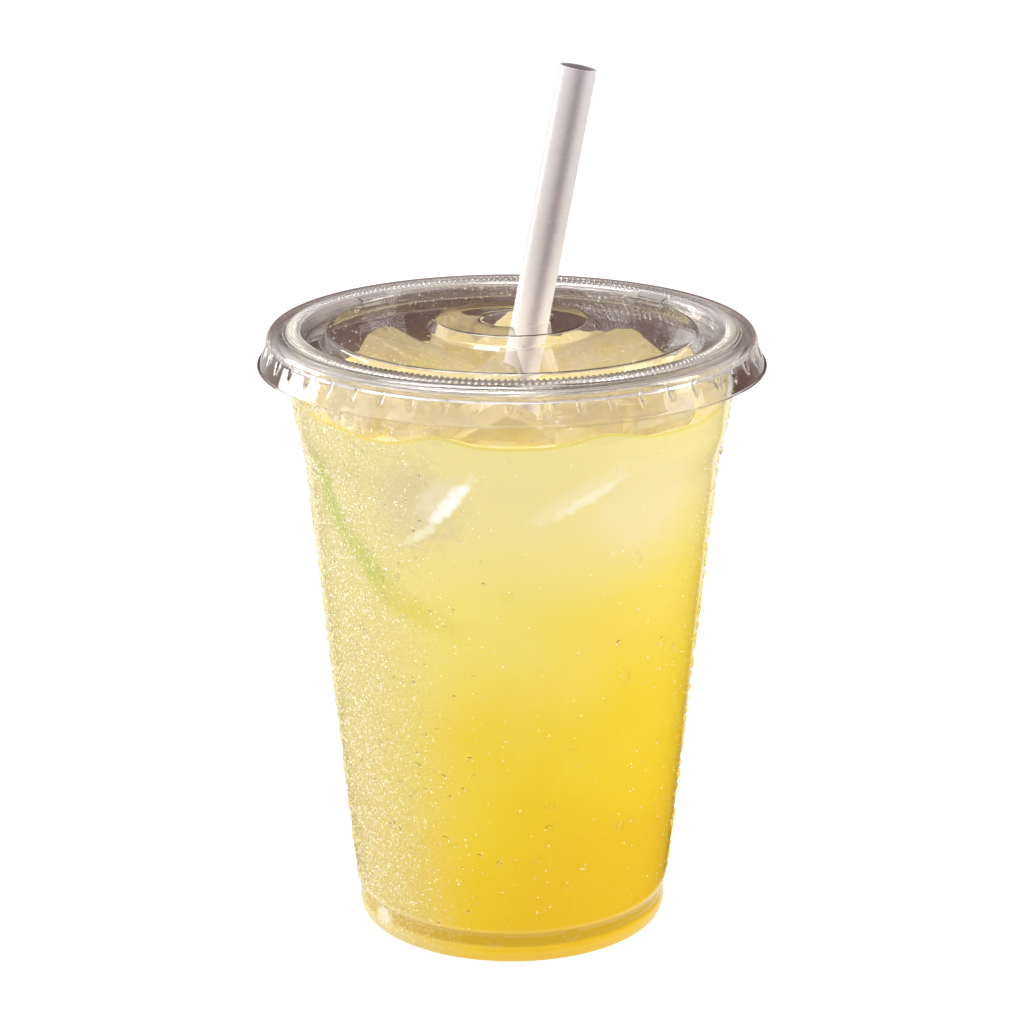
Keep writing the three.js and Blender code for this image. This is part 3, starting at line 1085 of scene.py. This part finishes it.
def makeStrawFinish():
    material = newMaterial("Frosted straw plastic")
    tree = material.node_tree
    out = addNode(tree, "ShaderNodeOutputMaterial", 800, 0)
    skin = addNode(tree, "ShaderNodeBsdfPrincipled", 400, 0)
    grain = mottle(tree, -400, 0, 240)
    tone = blendColours(tree, -200, 100, grain, *frostLook["tones"])
    # painted shade: a darker band down the front of the tube
    shade = addNode(tree, "ShaderNodeAttribute", -400, 300, attribute_name="shade")
    shadeBandTone, share = frostLook["paintedShadeBand"]
    paintedShadeBand = times(tree, -200, 300, shade.outputs["Fac"], share)
    tone = blendColours(tree, 0, 100, paintedShadeBand, tone, shadeBandTone)
    # painted shade inside the tube's hollow
    inside = addNode(tree, "ShaderNodeAttribute", -400, 500, attribute_name="inside")
    hollowShadeTone, share = frostLook["hollowShade"]
    hollowShade = times(tree, -200, 500, inside.outputs["Fac"], share)
    tone = blendColours(tree, 200, 100, hollowShade, tone, hollowShadeTone)
    rough = rangeNode(tree, 0, -200, grain, 0.3, 0.7, *frostLook["rough"])
    join(tree, tone, skin.inputs["Base Color"])
    join(tree, rough, skin.inputs["Roughness"])
    fine = mottle(tree, -400, -500, 900)
    join(tree, bumpNode(tree, 100, -500, fine, 0.15, 0.03 * mm), skin.inputs["Normal"])
    # painted glow on the part under the lid, standing in for the light from the ice round it
    height = axesOf(tree, -400, -700)["Z"]
    under = rangeNode(tree, 0, -700, height, *frostLook["paintedGlowHeights"])
    glow = blendColours(tree, 200, -700, under, (0, 0, 0, 1), tone)
    join(tree, glow, skin.inputs["Emission Color"])
    skin.inputs["Emission Strength"].default_value = frostLook["glow"]
    skin.inputs["Subsurface Weight"].default_value = frostLook["soft"]
    skin.inputs["Subsurface Radius"].default_value = frostLook["softReach"]
    skin.inputs["Subsurface Scale"].default_value = 1.0
    join(tree, skin.outputs[0], out.inputs["Surface"])
    return material


# Soft patches in the drink: pale sunken ice, and painted highlights for the glints on the ice with
# their halos and tail. Direction and height on the wall, half sizes across, in and up, tilt in
# degrees, strength and tone
patchLook = {
    "iceLeft": ((-27, 100), (13, 10, 13), 20, 0.75, colour(213, 198, 154)),
    "iceRight": ((38, 99), (17, 10, 13), -12, 0.75, colour(236, 222, 168)),
    "paintedHaloLeft": ((-20.5, 101.6), (4.2, 8, 8.5), 42, 0.55, colour(240, 229, 200)),
    "paintedGlintLeft": ((-16.4, 101.0), (2.0, 8, 9.6), 40, 1.0, colour(255, 253, 245)),
    "paintedGlintTailLeft": ((-25.5, 93.8), (1.3, 8, 5.5), 58, 0.6, colour(250, 243, 216)),
    "paintedHaloRight": ((17, 102.0), (3.0, 8, 15), 62, 0.5, colour(244, 232, 190)),
    "paintedGlintRight": ((20, 101.6), (1.5, 8, 11), 62, 0.5, colour(252, 247, 226)),
}
footPatch = ((-56, 4.6), (4.0, 8, 2.6), 0, 0.8, colour(240, 231, 212))
patchEdge = {"solid": 0.3, "uneven": 0.9, "grainScale": 620}


def addPatch(tree, x, y, tone, spec, toneX):
    (direction, height), size, tilt, strength, patchTone = spec
    angle, reach = math.radians(direction), wallRadius(height)
    where = addNode(tree, "ShaderNodeTexCoord", x - 600, y)
    place = addNode(tree, "ShaderNodeMapping", x - 400, y, vector_type="TEXTURE")
    place.inputs["Location"].default_value = (
        reach * math.sin(angle) * mm, -reach * math.cos(angle) * mm, height * mm,
    )
    place.inputs["Rotation"].default_value = (0, math.radians(tilt), angle)
    place.inputs["Scale"].default_value = [value * mm for value in size]
    far = addNode(tree, "ShaderNodeVectorMath", x - 200, y, operation="LENGTH")
    join(tree, where.outputs["Object"], place.inputs["Vector"])
    join(tree, place.outputs["Vector"], far.inputs[0])
    grain = mottle(tree, x - 400, y - 150, patchEdge["grainScale"])
    broken = times(tree, x - 200, y - 150, grain, patchEdge["uneven"])
    edge = mathNode(tree, "ADD", x - 100, y, far.outputs["Value"], broken)
    middle = patchEdge["uneven"] / 2
    ramp = (1.0 + middle, patchEdge["solid"] + middle)
    mask = rangeNode(tree, x, y, edge, *ramp, 0.0, strength)
    return blendColours(tree, toneX, 0, mask, tone, patchTone)


# lengths in metres, shares from 0 to 1, and ramps as where they begin and end
juiceLook = {
    "pale": colour(238, 224, 128),
    "gold": colour(236, 204, 46),
    "deep": colour(231, 190, 38),
    "slant": 0.62,
    "drift": 0.05,
    "goldRamp": (-0.085, 0.0),
    "deepRamp": (-0.02, 0.03),
    "iceZone": (colour(233, 220, 158), (0.087, 0.112), 0.8),
    "iceDrift": 0.022,
    "misty": (colour(206, 192, 138), (-0.18, -0.85), 0.7),
    "grooveShade": (colour(196, 158, 40), (0.0074, 0.0066), (0.0034, 0.0042), 0.75),
    "speckScale": 2600,
    "bright": (colour(250, 243, 212), (0.52, 0.66), (0.04, 0.5)),
    "dull": (colour(203, 188, 124), (0.48, 0.36), (0.02, 0.4)),
    "slush": (colour(236, 214, 112), colour(234, 222, 172)),
    "slushInner": (0.0440, 0.0430),
    "slushFrom": (0.1105, 0.1112),
    "edge": (colour(228, 208, 96), (0.8 * mm, 0.45 * mm), 0.6),
    "rough": (0.25, 0.4),
    "glow": 0.3,
    "shine": 0.1,
}


def makeDrinkFinish():
    look = juiceLook
    material = newMaterial("Cloudy lemon juice")
    tree = material.node_tree
    out = addNode(tree, "ShaderNodeOutputMaterial", 1600, 0)
    juice = addNode(tree, "ShaderNodeBsdfPrincipled", 1300, 0)
    axes = axesOf(tree, -1400, 0)
    along, height = axes["X"], axes["Z"]
    cloud = mottle(tree, -1200, -400, 38, 2.0)
    drift = times(tree, -1000, -400, cloud, look["drift"])
    # deeper gold towards the bottom and the right
    slant = times(tree, -1000, 0, along, look["slant"])
    slope = mathNode(tree, "SUBTRACT", -800, 0, slant, height)
    depth = mathNode(tree, "ADD", -600, 0, slope, drift)
    gold = rangeNode(tree, -400, 0, depth, *look["goldRamp"])
    tone = blendColours(tree, -200, 0, gold, look["pale"], look["gold"])
    deep = rangeNode(tree, -400, -200, depth, *look["deepRamp"])
    tone = blendColours(tree, 0, 0, deep, tone, look["deep"])
    # the ice zone under the surface is pale
    zoneTone, heights, share = look["iceZone"]
    rising = times(tree, -800, 300, cloud, look["iceDrift"])
    high = mathNode(tree, "ADD", -600, 300, height, rising)
    pale = times(tree, 0, 300, rangeNode(tree, -400, 300, high, *heights), share)
    tone = blendColours(tree, 200, 0, pale, tone, zoneTone)
    # mist on the left greys the colour
    mistTone, ramp, share = look["misty"]
    reach = reachNode(tree, -1000, 600, axes)
    sideways = mathNode(tree, "DIVIDE", -600, 600, along, reach)
    left = rangeNode(tree, -400, 600, sideways, *ramp)
    tone = blendColours(tree, 400, 0, times(tree, 0, 600, left, share), tone, mistTone)
    for step, spec in enumerate(patchLook.values()):
        tone = addPatch(tree, 0, 900 + 300 * step, tone, spec, 500 + 100 * step)
    # painted shade: darker band in the groove of the foot
    grooveShadeTone, fromTop, fromFoot, share = look["grooveShade"]
    lowBand = rangeNode(tree, -400, -800, height, *fromTop)
    lowEnd = rangeNode(tree, -400, -1000, height, *fromFoot)
    grooveShade = times(tree, 0, -900, times(tree, -200, -900, lowBand, lowEnd), share)
    tone = blendColours(tree, 1000, 0, grooveShade, tone, grooveShadeTone)
    tone = addPatch(tree, 800, -900, tone, footPatch, 1060)
    # the mist's grain, strong on the left and faint elsewhere
    specks = mottle(tree, 300, -1000, look["speckScale"], 2.0)
    for step, name in enumerate(("bright", "dull")):
        speckTone, ramp, shares = look[name]
        seen = rangeNode(tree, 500, -1000 - 200 * step, specks, *ramp)
        share = rangeNode(tree, 500, -800 - 100 * step, left, 0.0, 1.0, *shares, "LINEAR")
        seen = times(tree, 700, -1000 - 200 * step, seen, share)
        tone = blendColours(tree, 1120 + 40 * step, 0, seen, tone, speckTone)
    # slush on the drink's surface, and the bright line of its edge
    inner = rangeNode(tree, -600, -1400, reach, *look["slushInner"])
    top = rangeNode(tree, -600, -1600, height, *look["slushFrom"])
    lumps = rangeNode(tree, 700, -1400, mottle(tree, 500, -1400, 160), 0.35, 0.65)
    slush = blendColours(tree, 900, -1400, lumps, *look["slush"])
    tone = blendColours(tree, 1200, 0, times(tree, -400, -1400, inner, top), tone, slush)
    edgeTone, ramp, share = look["edge"]
    edge = addNode(tree, "ShaderNodeAttribute", -600, -1800, attribute_name="belowEdge")
    line = rangeNode(tree, -400, -1800, edge.outputs["Fac"], *ramp, 0.0, share)
    tone = blendColours(tree, 1300, 0, line, tone, edgeTone)
    join(tree, tone, juice.inputs["Base Color"])
    grain = mottle(tree, 600, -500, 700)
    rough = rangeNode(tree, 900, -400, grain, 0.3, 0.7, *look["rough"])
    join(tree, rough, juice.inputs["Roughness"])
    join(tree, bumpNode(tree, 900, -600, grain, 0.1, 0.05 * mm), juice.inputs["Normal"])
    # painted glow: the juice gives off its own colour, for the light that passes through it
    join(tree, tone, juice.inputs["Emission Color"])
    juice.inputs["Emission Strength"].default_value = look["glow"]
    juice.inputs["Specular IOR Level"].default_value = look["shine"]
    join(tree, juice.outputs[0], out.inputs["Surface"])
    return material


def makeCitrusFinish():
    material = newMaterial("Sunken citrus rind")
    tree = material.node_tree
    out = addNode(tree, "ShaderNodeOutputMaterial", 1000, 0)
    rind = addNode(tree, "ShaderNodeBsdfPrincipled", 700, 0)
    axes = axesOf(tree, -800, 0, "UV")
    along, across = axes["X"], axes["Y"]
    flesh = rangeNode(tree, 0, 200, along, *citrusLook["toneRamp"])
    tone = blendColours(tree, 200, 200, flesh, *citrusLook["tones"])
    join(tree, tone, rind.inputs["Base Color"])
    # painted glow: the rind gives off its own colour
    join(tree, tone, rind.inputs["Emission Color"])
    rind.inputs["Emission Strength"].default_value = citrusLook["glow"]
    grain = mottle(tree, -200, -600, 210)
    join(tree, rangeNode(tree, 0, -600, grain, 0.3, 0.7, 0.4, 0.6), rind.inputs["Roughness"])
    # faded at its edges and broken up, as seen through cloudy juice
    low = rangeNode(tree, -400, -100, across, 0.0, 0.45)
    high = rangeNode(tree, -400, -300, across, 1.0, 0.55)
    ends = times(
        tree, -200, 100,
        rangeNode(tree, -400, 100, along, 0.0, 0.15), rangeNode(tree, -400, 300, along, 1.0, 0.7),
    )
    seen = times(tree, -200, -200, low, high)
    seen = times(tree, 0, -200, seen, ends)
    cloud = rangeNode(tree, 0, -400, grain, 0.25, 0.65, *citrusLook["cloud"])
    join(tree, times(tree, 200, -200, seen, cloud), rind.inputs["Alpha"])
    join(tree, rind.outputs[0], out.inputs["Surface"])
    return material


strawFinish = makeStrawFinish()
drinkFinish = makeDrinkFinish()

dress(clearCup, cupPlastic, "clear_cup", "cup")
dress(clearLid, lidPlastic, "clear_lid", "lid")
dress(drinkingStraw, strawFinish, "straw", "straw")
dress(lemonDrink, drinkFinish, "lemon_drink", "drink")
for name, piece in icePieces.items():
    dress(piece, iceFinish, "ice", name)
dress(iceChips, iceFinish, "ice")
dress(citrusSlice, makeCitrusFinish(), "citrus")
for name, piece in waterPieces.items():
    dress(piece, mistFinish if name in ("mist", "lidSpots") else waterFinish, "water_drops")
print("finishes on")

# Studio
studioLook = {
    "cameraAt": (0.0, -0.5837, 0.2672),
    "pitchDeg": 17.17,
    "lens": 104.17,
    "paper": (0.4, 0.4, 0.4, 1),
    "paperSoft": (0.35, 0.345, 0.335, 1),
    "paperSeen": (0.85, 0.85, 0.85, 1),
    "white": (1, 1, 1, 1),
    # soft light on the object and its strength in the dark and in the light parts of the room
    "soft": (1, 0.985, 0.965, 1),
    "softDim": 0.46,
    "softLit": 0.72,
    "softSides": [((-0.97, 0.1, 0.24), 0.0, 0.95, 1.0), ((0.95, 0.15, 0.28), 0.1, 0.95, 0.8),
                  ((0.0, 0.2, 0.98), 0.4, 1.0, 0.6)],
    # what bent and mirrored rays find: a brown room with windows, each a direction, where its
    # light begins and ends as a share of facing it, and its strength
    "brown": colour(74, 34, 26),
    "glare": (0.92, 0.875, 0.845, 1),
    "haze": (0.64, 0.55, 0.51, 1),
    "dim": (0.25, 0.165, 0.135, 1),
    "windows": [
        ((-0.69, -0.23, 0.69), -0.15, 0.75, 1.0),
        ((0.2, -0.6, 0.77), 0.4, 0.95, 0.4),
        ((0.0, 0.85, 0.53), 0.6, 0.98, 0.06),
    ],
    "darkSides": [((0.0, 0.97, 0.25), 0.72, 0.88, 1.0)],
    # bright ends of the table, with where they begin and end in metres, and its bright middle,
    # a strip behind the cup between two ramps along Y
    "tableEnds": [
        ((-1.0, -0.25, 0.0), 0.06, 0.40, 1.0),
        ((1.0, 0.10, 0.0), 0.15, 0.50, 0.7),
        ((0.0, -1.0, 0.0), 0.33, 0.55, 0.3),
    ],
    "tableStrip": ((-0.02, 0.05), (0.42, 0.36)),
    "stripShare": 0.6,
    "behindCup": (-0.05, 0.0),
    "mirrorShare": 0.7,
    "tableWedge": (-0.03, 0.05),
    "wedgeSlope": -1.4,
    "tableSpot": (0.042, 0.036),    # ring round the foot where the bright spot ends
    # place, size, watts, tone and whether the plastic mirrors it
    "softboxes": {
        "left_window": ((-0.80, 0.30, 0.24), (0.45, 0.34), 2.6, (1, 0.99, 0.98), True),
        "front_softbox": ((-0.80, -0.48, 0.50), (0.5, 0.4), 1.5, (1, 0.99, 0.97), False),
        "right_softbox": ((0.75, -0.10, 0.36), (0.3, 0.5), 2.0, (1, 0.99, 0.98), False),
        "fill_softbox": ((0.10, -0.85, 0.75), (0.6, 0.4), 0.8, (1, 0.99, 0.97), False),
        "top_softbox": ((-0.15, 0.25, 0.8), (0.4, 0.2), 2.4, (1, 1, 1), True),
    },
}


def brightMask(tree, x, y, vector, sides):
    # 0 in the dark of the room and 1 where a window or the lit table is
    mask = None
    for i, (side, begin, end, strength) in enumerate(sides):
        dot = addNode(tree, "ShaderNodeVectorMath", x - 600, y - 250 * i, operation="DOT_PRODUCT")
        join(tree, vector, dot.inputs[0])
        dot.inputs[1].default_value = side
        lit = rangeNode(tree, x - 400, y - 250 * i, dot.outputs["Value"], begin, end, 0.0, strength)
        mask = lit if mask is None else mathNode(tree, "MAXIMUM", x - 200, y - 250 * i, mask, lit)
    return mask


def addLamp(name, place, aim, size, power, tone, mirrored):
    lamp = bpy.data.lights.new(name, "AREA")
    lamp.shape = "RECTANGLE"
    lamp.size, lamp.size_y = size
    lamp.energy = power
    lamp.color = tone
    holder = placeNew(name, lamp)
    holder.location = place
    away = Vector(place) - Vector(aim)
    holder.rotation_euler = away.to_track_quat("Z", "Y").to_euler()
    holder.visible_camera = False
    holder.visible_glossy = mirrored


def makeFloor():
    # pale paper: near white to look at, and brown further off in what plastic bends or mirrors
    startPiece()
    bpy.ops.mesh.primitive_plane_add(size=12, location=(0, 0, 0))
    floor = bpy.context.object
    floor.name = "studio_floor"
    material = newMaterial("Pale floor")
    tree = material.node_tree
    out = addNode(tree, "ShaderNodeOutputMaterial", 900, 0)
    path, bent = bentRays(tree, -400, 400)
    where = addNode(tree, "ShaderNodeTexCoord", -800, 0)
    paper = addNode(tree, "ShaderNodeBsdfDiffuse", 400, 0)
    glow = addNode(tree, "ShaderNodeEmission", 400, -200)
    both = addNode(tree, "ShaderNodeAddShader", 600, 0)
    dark = (0, 0, 0, 1)
    join(tree, blendColours(tree, 200, 200, bent, studioLook["paper"], dark), paper.inputs["Color"])
    papers = studioLook["paperSoft"], studioLook["paperSeen"]
    lit = blendColours(tree, 0, -200, path.outputs["Is Camera Ray"], *papers)
    ends = brightMask(tree, -200, -400, where.outputs["Object"], studioLook["tableEnds"])
    axes = addNode(tree, "ShaderNodeSeparateXYZ", -800, -900)
    join(tree, where.outputs["Object"], axes.inputs[0])
    near, far = studioLook["tableStrip"]
    strip = times(
        tree, -400, -900,
        rangeNode(tree, -600, -900, axes.outputs["Y"], *near, 0.0, studioLook["stripShare"]),
        rangeNode(tree, -600, -1100, axes.outputs["Y"], *far),
    )
    away = addNode(tree, "ShaderNodeVectorMath", -600, -1300, operation="LENGTH")
    join(tree, where.outputs["Object"], away.inputs[0])
    spot = rangeNode(tree, -400, -1300, away.outputs["Value"], *studioLook["tableSpot"])
    sides = times(tree, -300, -700, ends, studioLook["mirrorShare"])
    bright = mathNode(tree, "MAXIMUM", -200, -700, spot, sides)
    # the edges of the cup mirror a bright wedge right behind it
    sideways = mathNode(tree, "ABSOLUTE", -600, -1900, axes.outputs["X"])
    sideways = times(tree, -500, -1900, sideways, studioLook["wedgeSlope"])
    wedge = mathNode(tree, "ADD", -400, -1900, sideways, axes.outputs["Y"])
    wedge = rangeNode(tree, -300, -1900, wedge, *studioLook["tableWedge"])
    bright = mathNode(tree, "MAXIMUM", -100, -700, bright, wedge)
    mirrored = blendColours(tree, 0, -400, bright, studioLook["brown"], studioLook["glare"])
    # straight through the lid lies the brown part of the table, and pale haze lies elsewhere
    behind = rangeNode(tree, -400, -1500, axes.outputs["Y"], *reversed(far))
    besides = mathNode(tree, "SUBTRACT", -400, -1700, 1.0, ends)
    behind = times(tree, -200, -1500, behind, besides)
    nearer = blendColours(tree, -200, -1100, strip, studioLook["haze"], studioLook["glare"])
    through = blendColours(tree, 0, -1300, behind, nearer, studioLook["brown"])
    onward = times(
        tree, 0, -1500, path.outputs["Is Transmission Ray"],
        rangeNode(tree, -200, -1700, axes.outputs["Y"], *studioLook["behindCup"]),
    )
    table = blendColours(tree, 100, -400, onward, mirrored, through)
    join(tree, blendColours(tree, 200, -200, bent, lit, table), glow.inputs["Color"])
    join(tree, paper.outputs[0], both.inputs[0])
    join(tree, glow.outputs[0], both.inputs[1])
    join(tree, both.outputs[0], out.inputs["Surface"])
    material.cycles.emission_sampling = "NONE"
    floor.data.materials.append(material)


def makeWorld():
    # white to look at, soft light on the object, and a brown room in what plastic bends or mirrors
    world = bpy.data.worlds.new("Studio")
    world.use_nodes = True
    tree = world.node_tree
    tree.nodes.clear()
    out = addNode(tree, "ShaderNodeOutputWorld", 800, 0)
    path, bent = bentRays(tree, -200, 400)
    white = addNode(tree, "ShaderNodeBackground", 200, 100)
    soft = addNode(tree, "ShaderNodeBackground", 200, -100)
    room = addNode(tree, "ShaderNodeBackground", 200, -300)
    white.inputs["Color"].default_value = studioLook["white"]
    soft.inputs["Color"].default_value = studioLook["soft"]
    where = addNode(tree, "ShaderNodeTexCoord", -400, -300)
    lit = brightMask(tree, 0, 700, where.outputs["Generated"], studioLook["softSides"])
    power = rangeNode(
        tree, 100, 500, lit, 0.0, 1.0, studioLook["softDim"], studioLook["softLit"], "LINEAR",
    )
    join(tree, power, soft.inputs["Strength"])
    bright = brightMask(tree, 0, -500, where.outputs["Generated"], studioLook["windows"])
    dark = brightMask(tree, 0, -900, where.outputs["Generated"], studioLook["darkSides"])
    bentThrough = path.outputs["Is Transmission Ray"]
    tone = blendColours(tree, -100, -700, bentThrough, studioLook["dim"], studioLook["haze"])
    tone = blendColours(tree, 0, -500, dark, tone, studioLook["brown"])
    tone = blendColours(tree, 100, -300, bright, tone, studioLook["glare"])
    join(tree, tone, room.inputs["Color"])
    seen = addNode(tree, "ShaderNodeMixShader", 400, 0)
    mix = addNode(tree, "ShaderNodeMixShader", 600, 0)
    join(tree, path.outputs["Is Camera Ray"], seen.inputs["Fac"])
    join(tree, soft.outputs[0], seen.inputs[1])
    join(tree, white.outputs[0], seen.inputs[2])
    join(tree, bent, mix.inputs["Fac"])
    join(tree, seen.outputs[0], mix.inputs[1])
    join(tree, room.outputs[0], mix.inputs[2])
    join(tree, mix.outputs[0], out.inputs["Surface"])
    bpy.context.scene.world = world


def makeStudio():
    makeFloor()
    makeWorld()
    aim = (0, 0, 0.08)
    for name, (place, *rest) in studioLook["softboxes"].items():
        addLamp(name, place, aim, *rest)
    camera = placeNew("camera", bpy.data.cameras.new("camera"))
    camera.location = studioLook["cameraAt"]
    camera.rotation_euler = (math.radians(90 - studioLook["pitchDeg"]), 0, 0)
    camera.data.lens = studioLook["lens"]
    camera.data.sensor_width = 36
    bpy.context.scene.camera = camera
    bpy.context.scene.view_settings.view_transform = "Standard"
    bpy.context.scene.cycles.max_bounces = 24
    bpy.context.scene.cycles.transmission_bounces = 20
    bpy.context.scene.cycles.transparent_max_bounces = 24


makeStudio()
print("studio made")
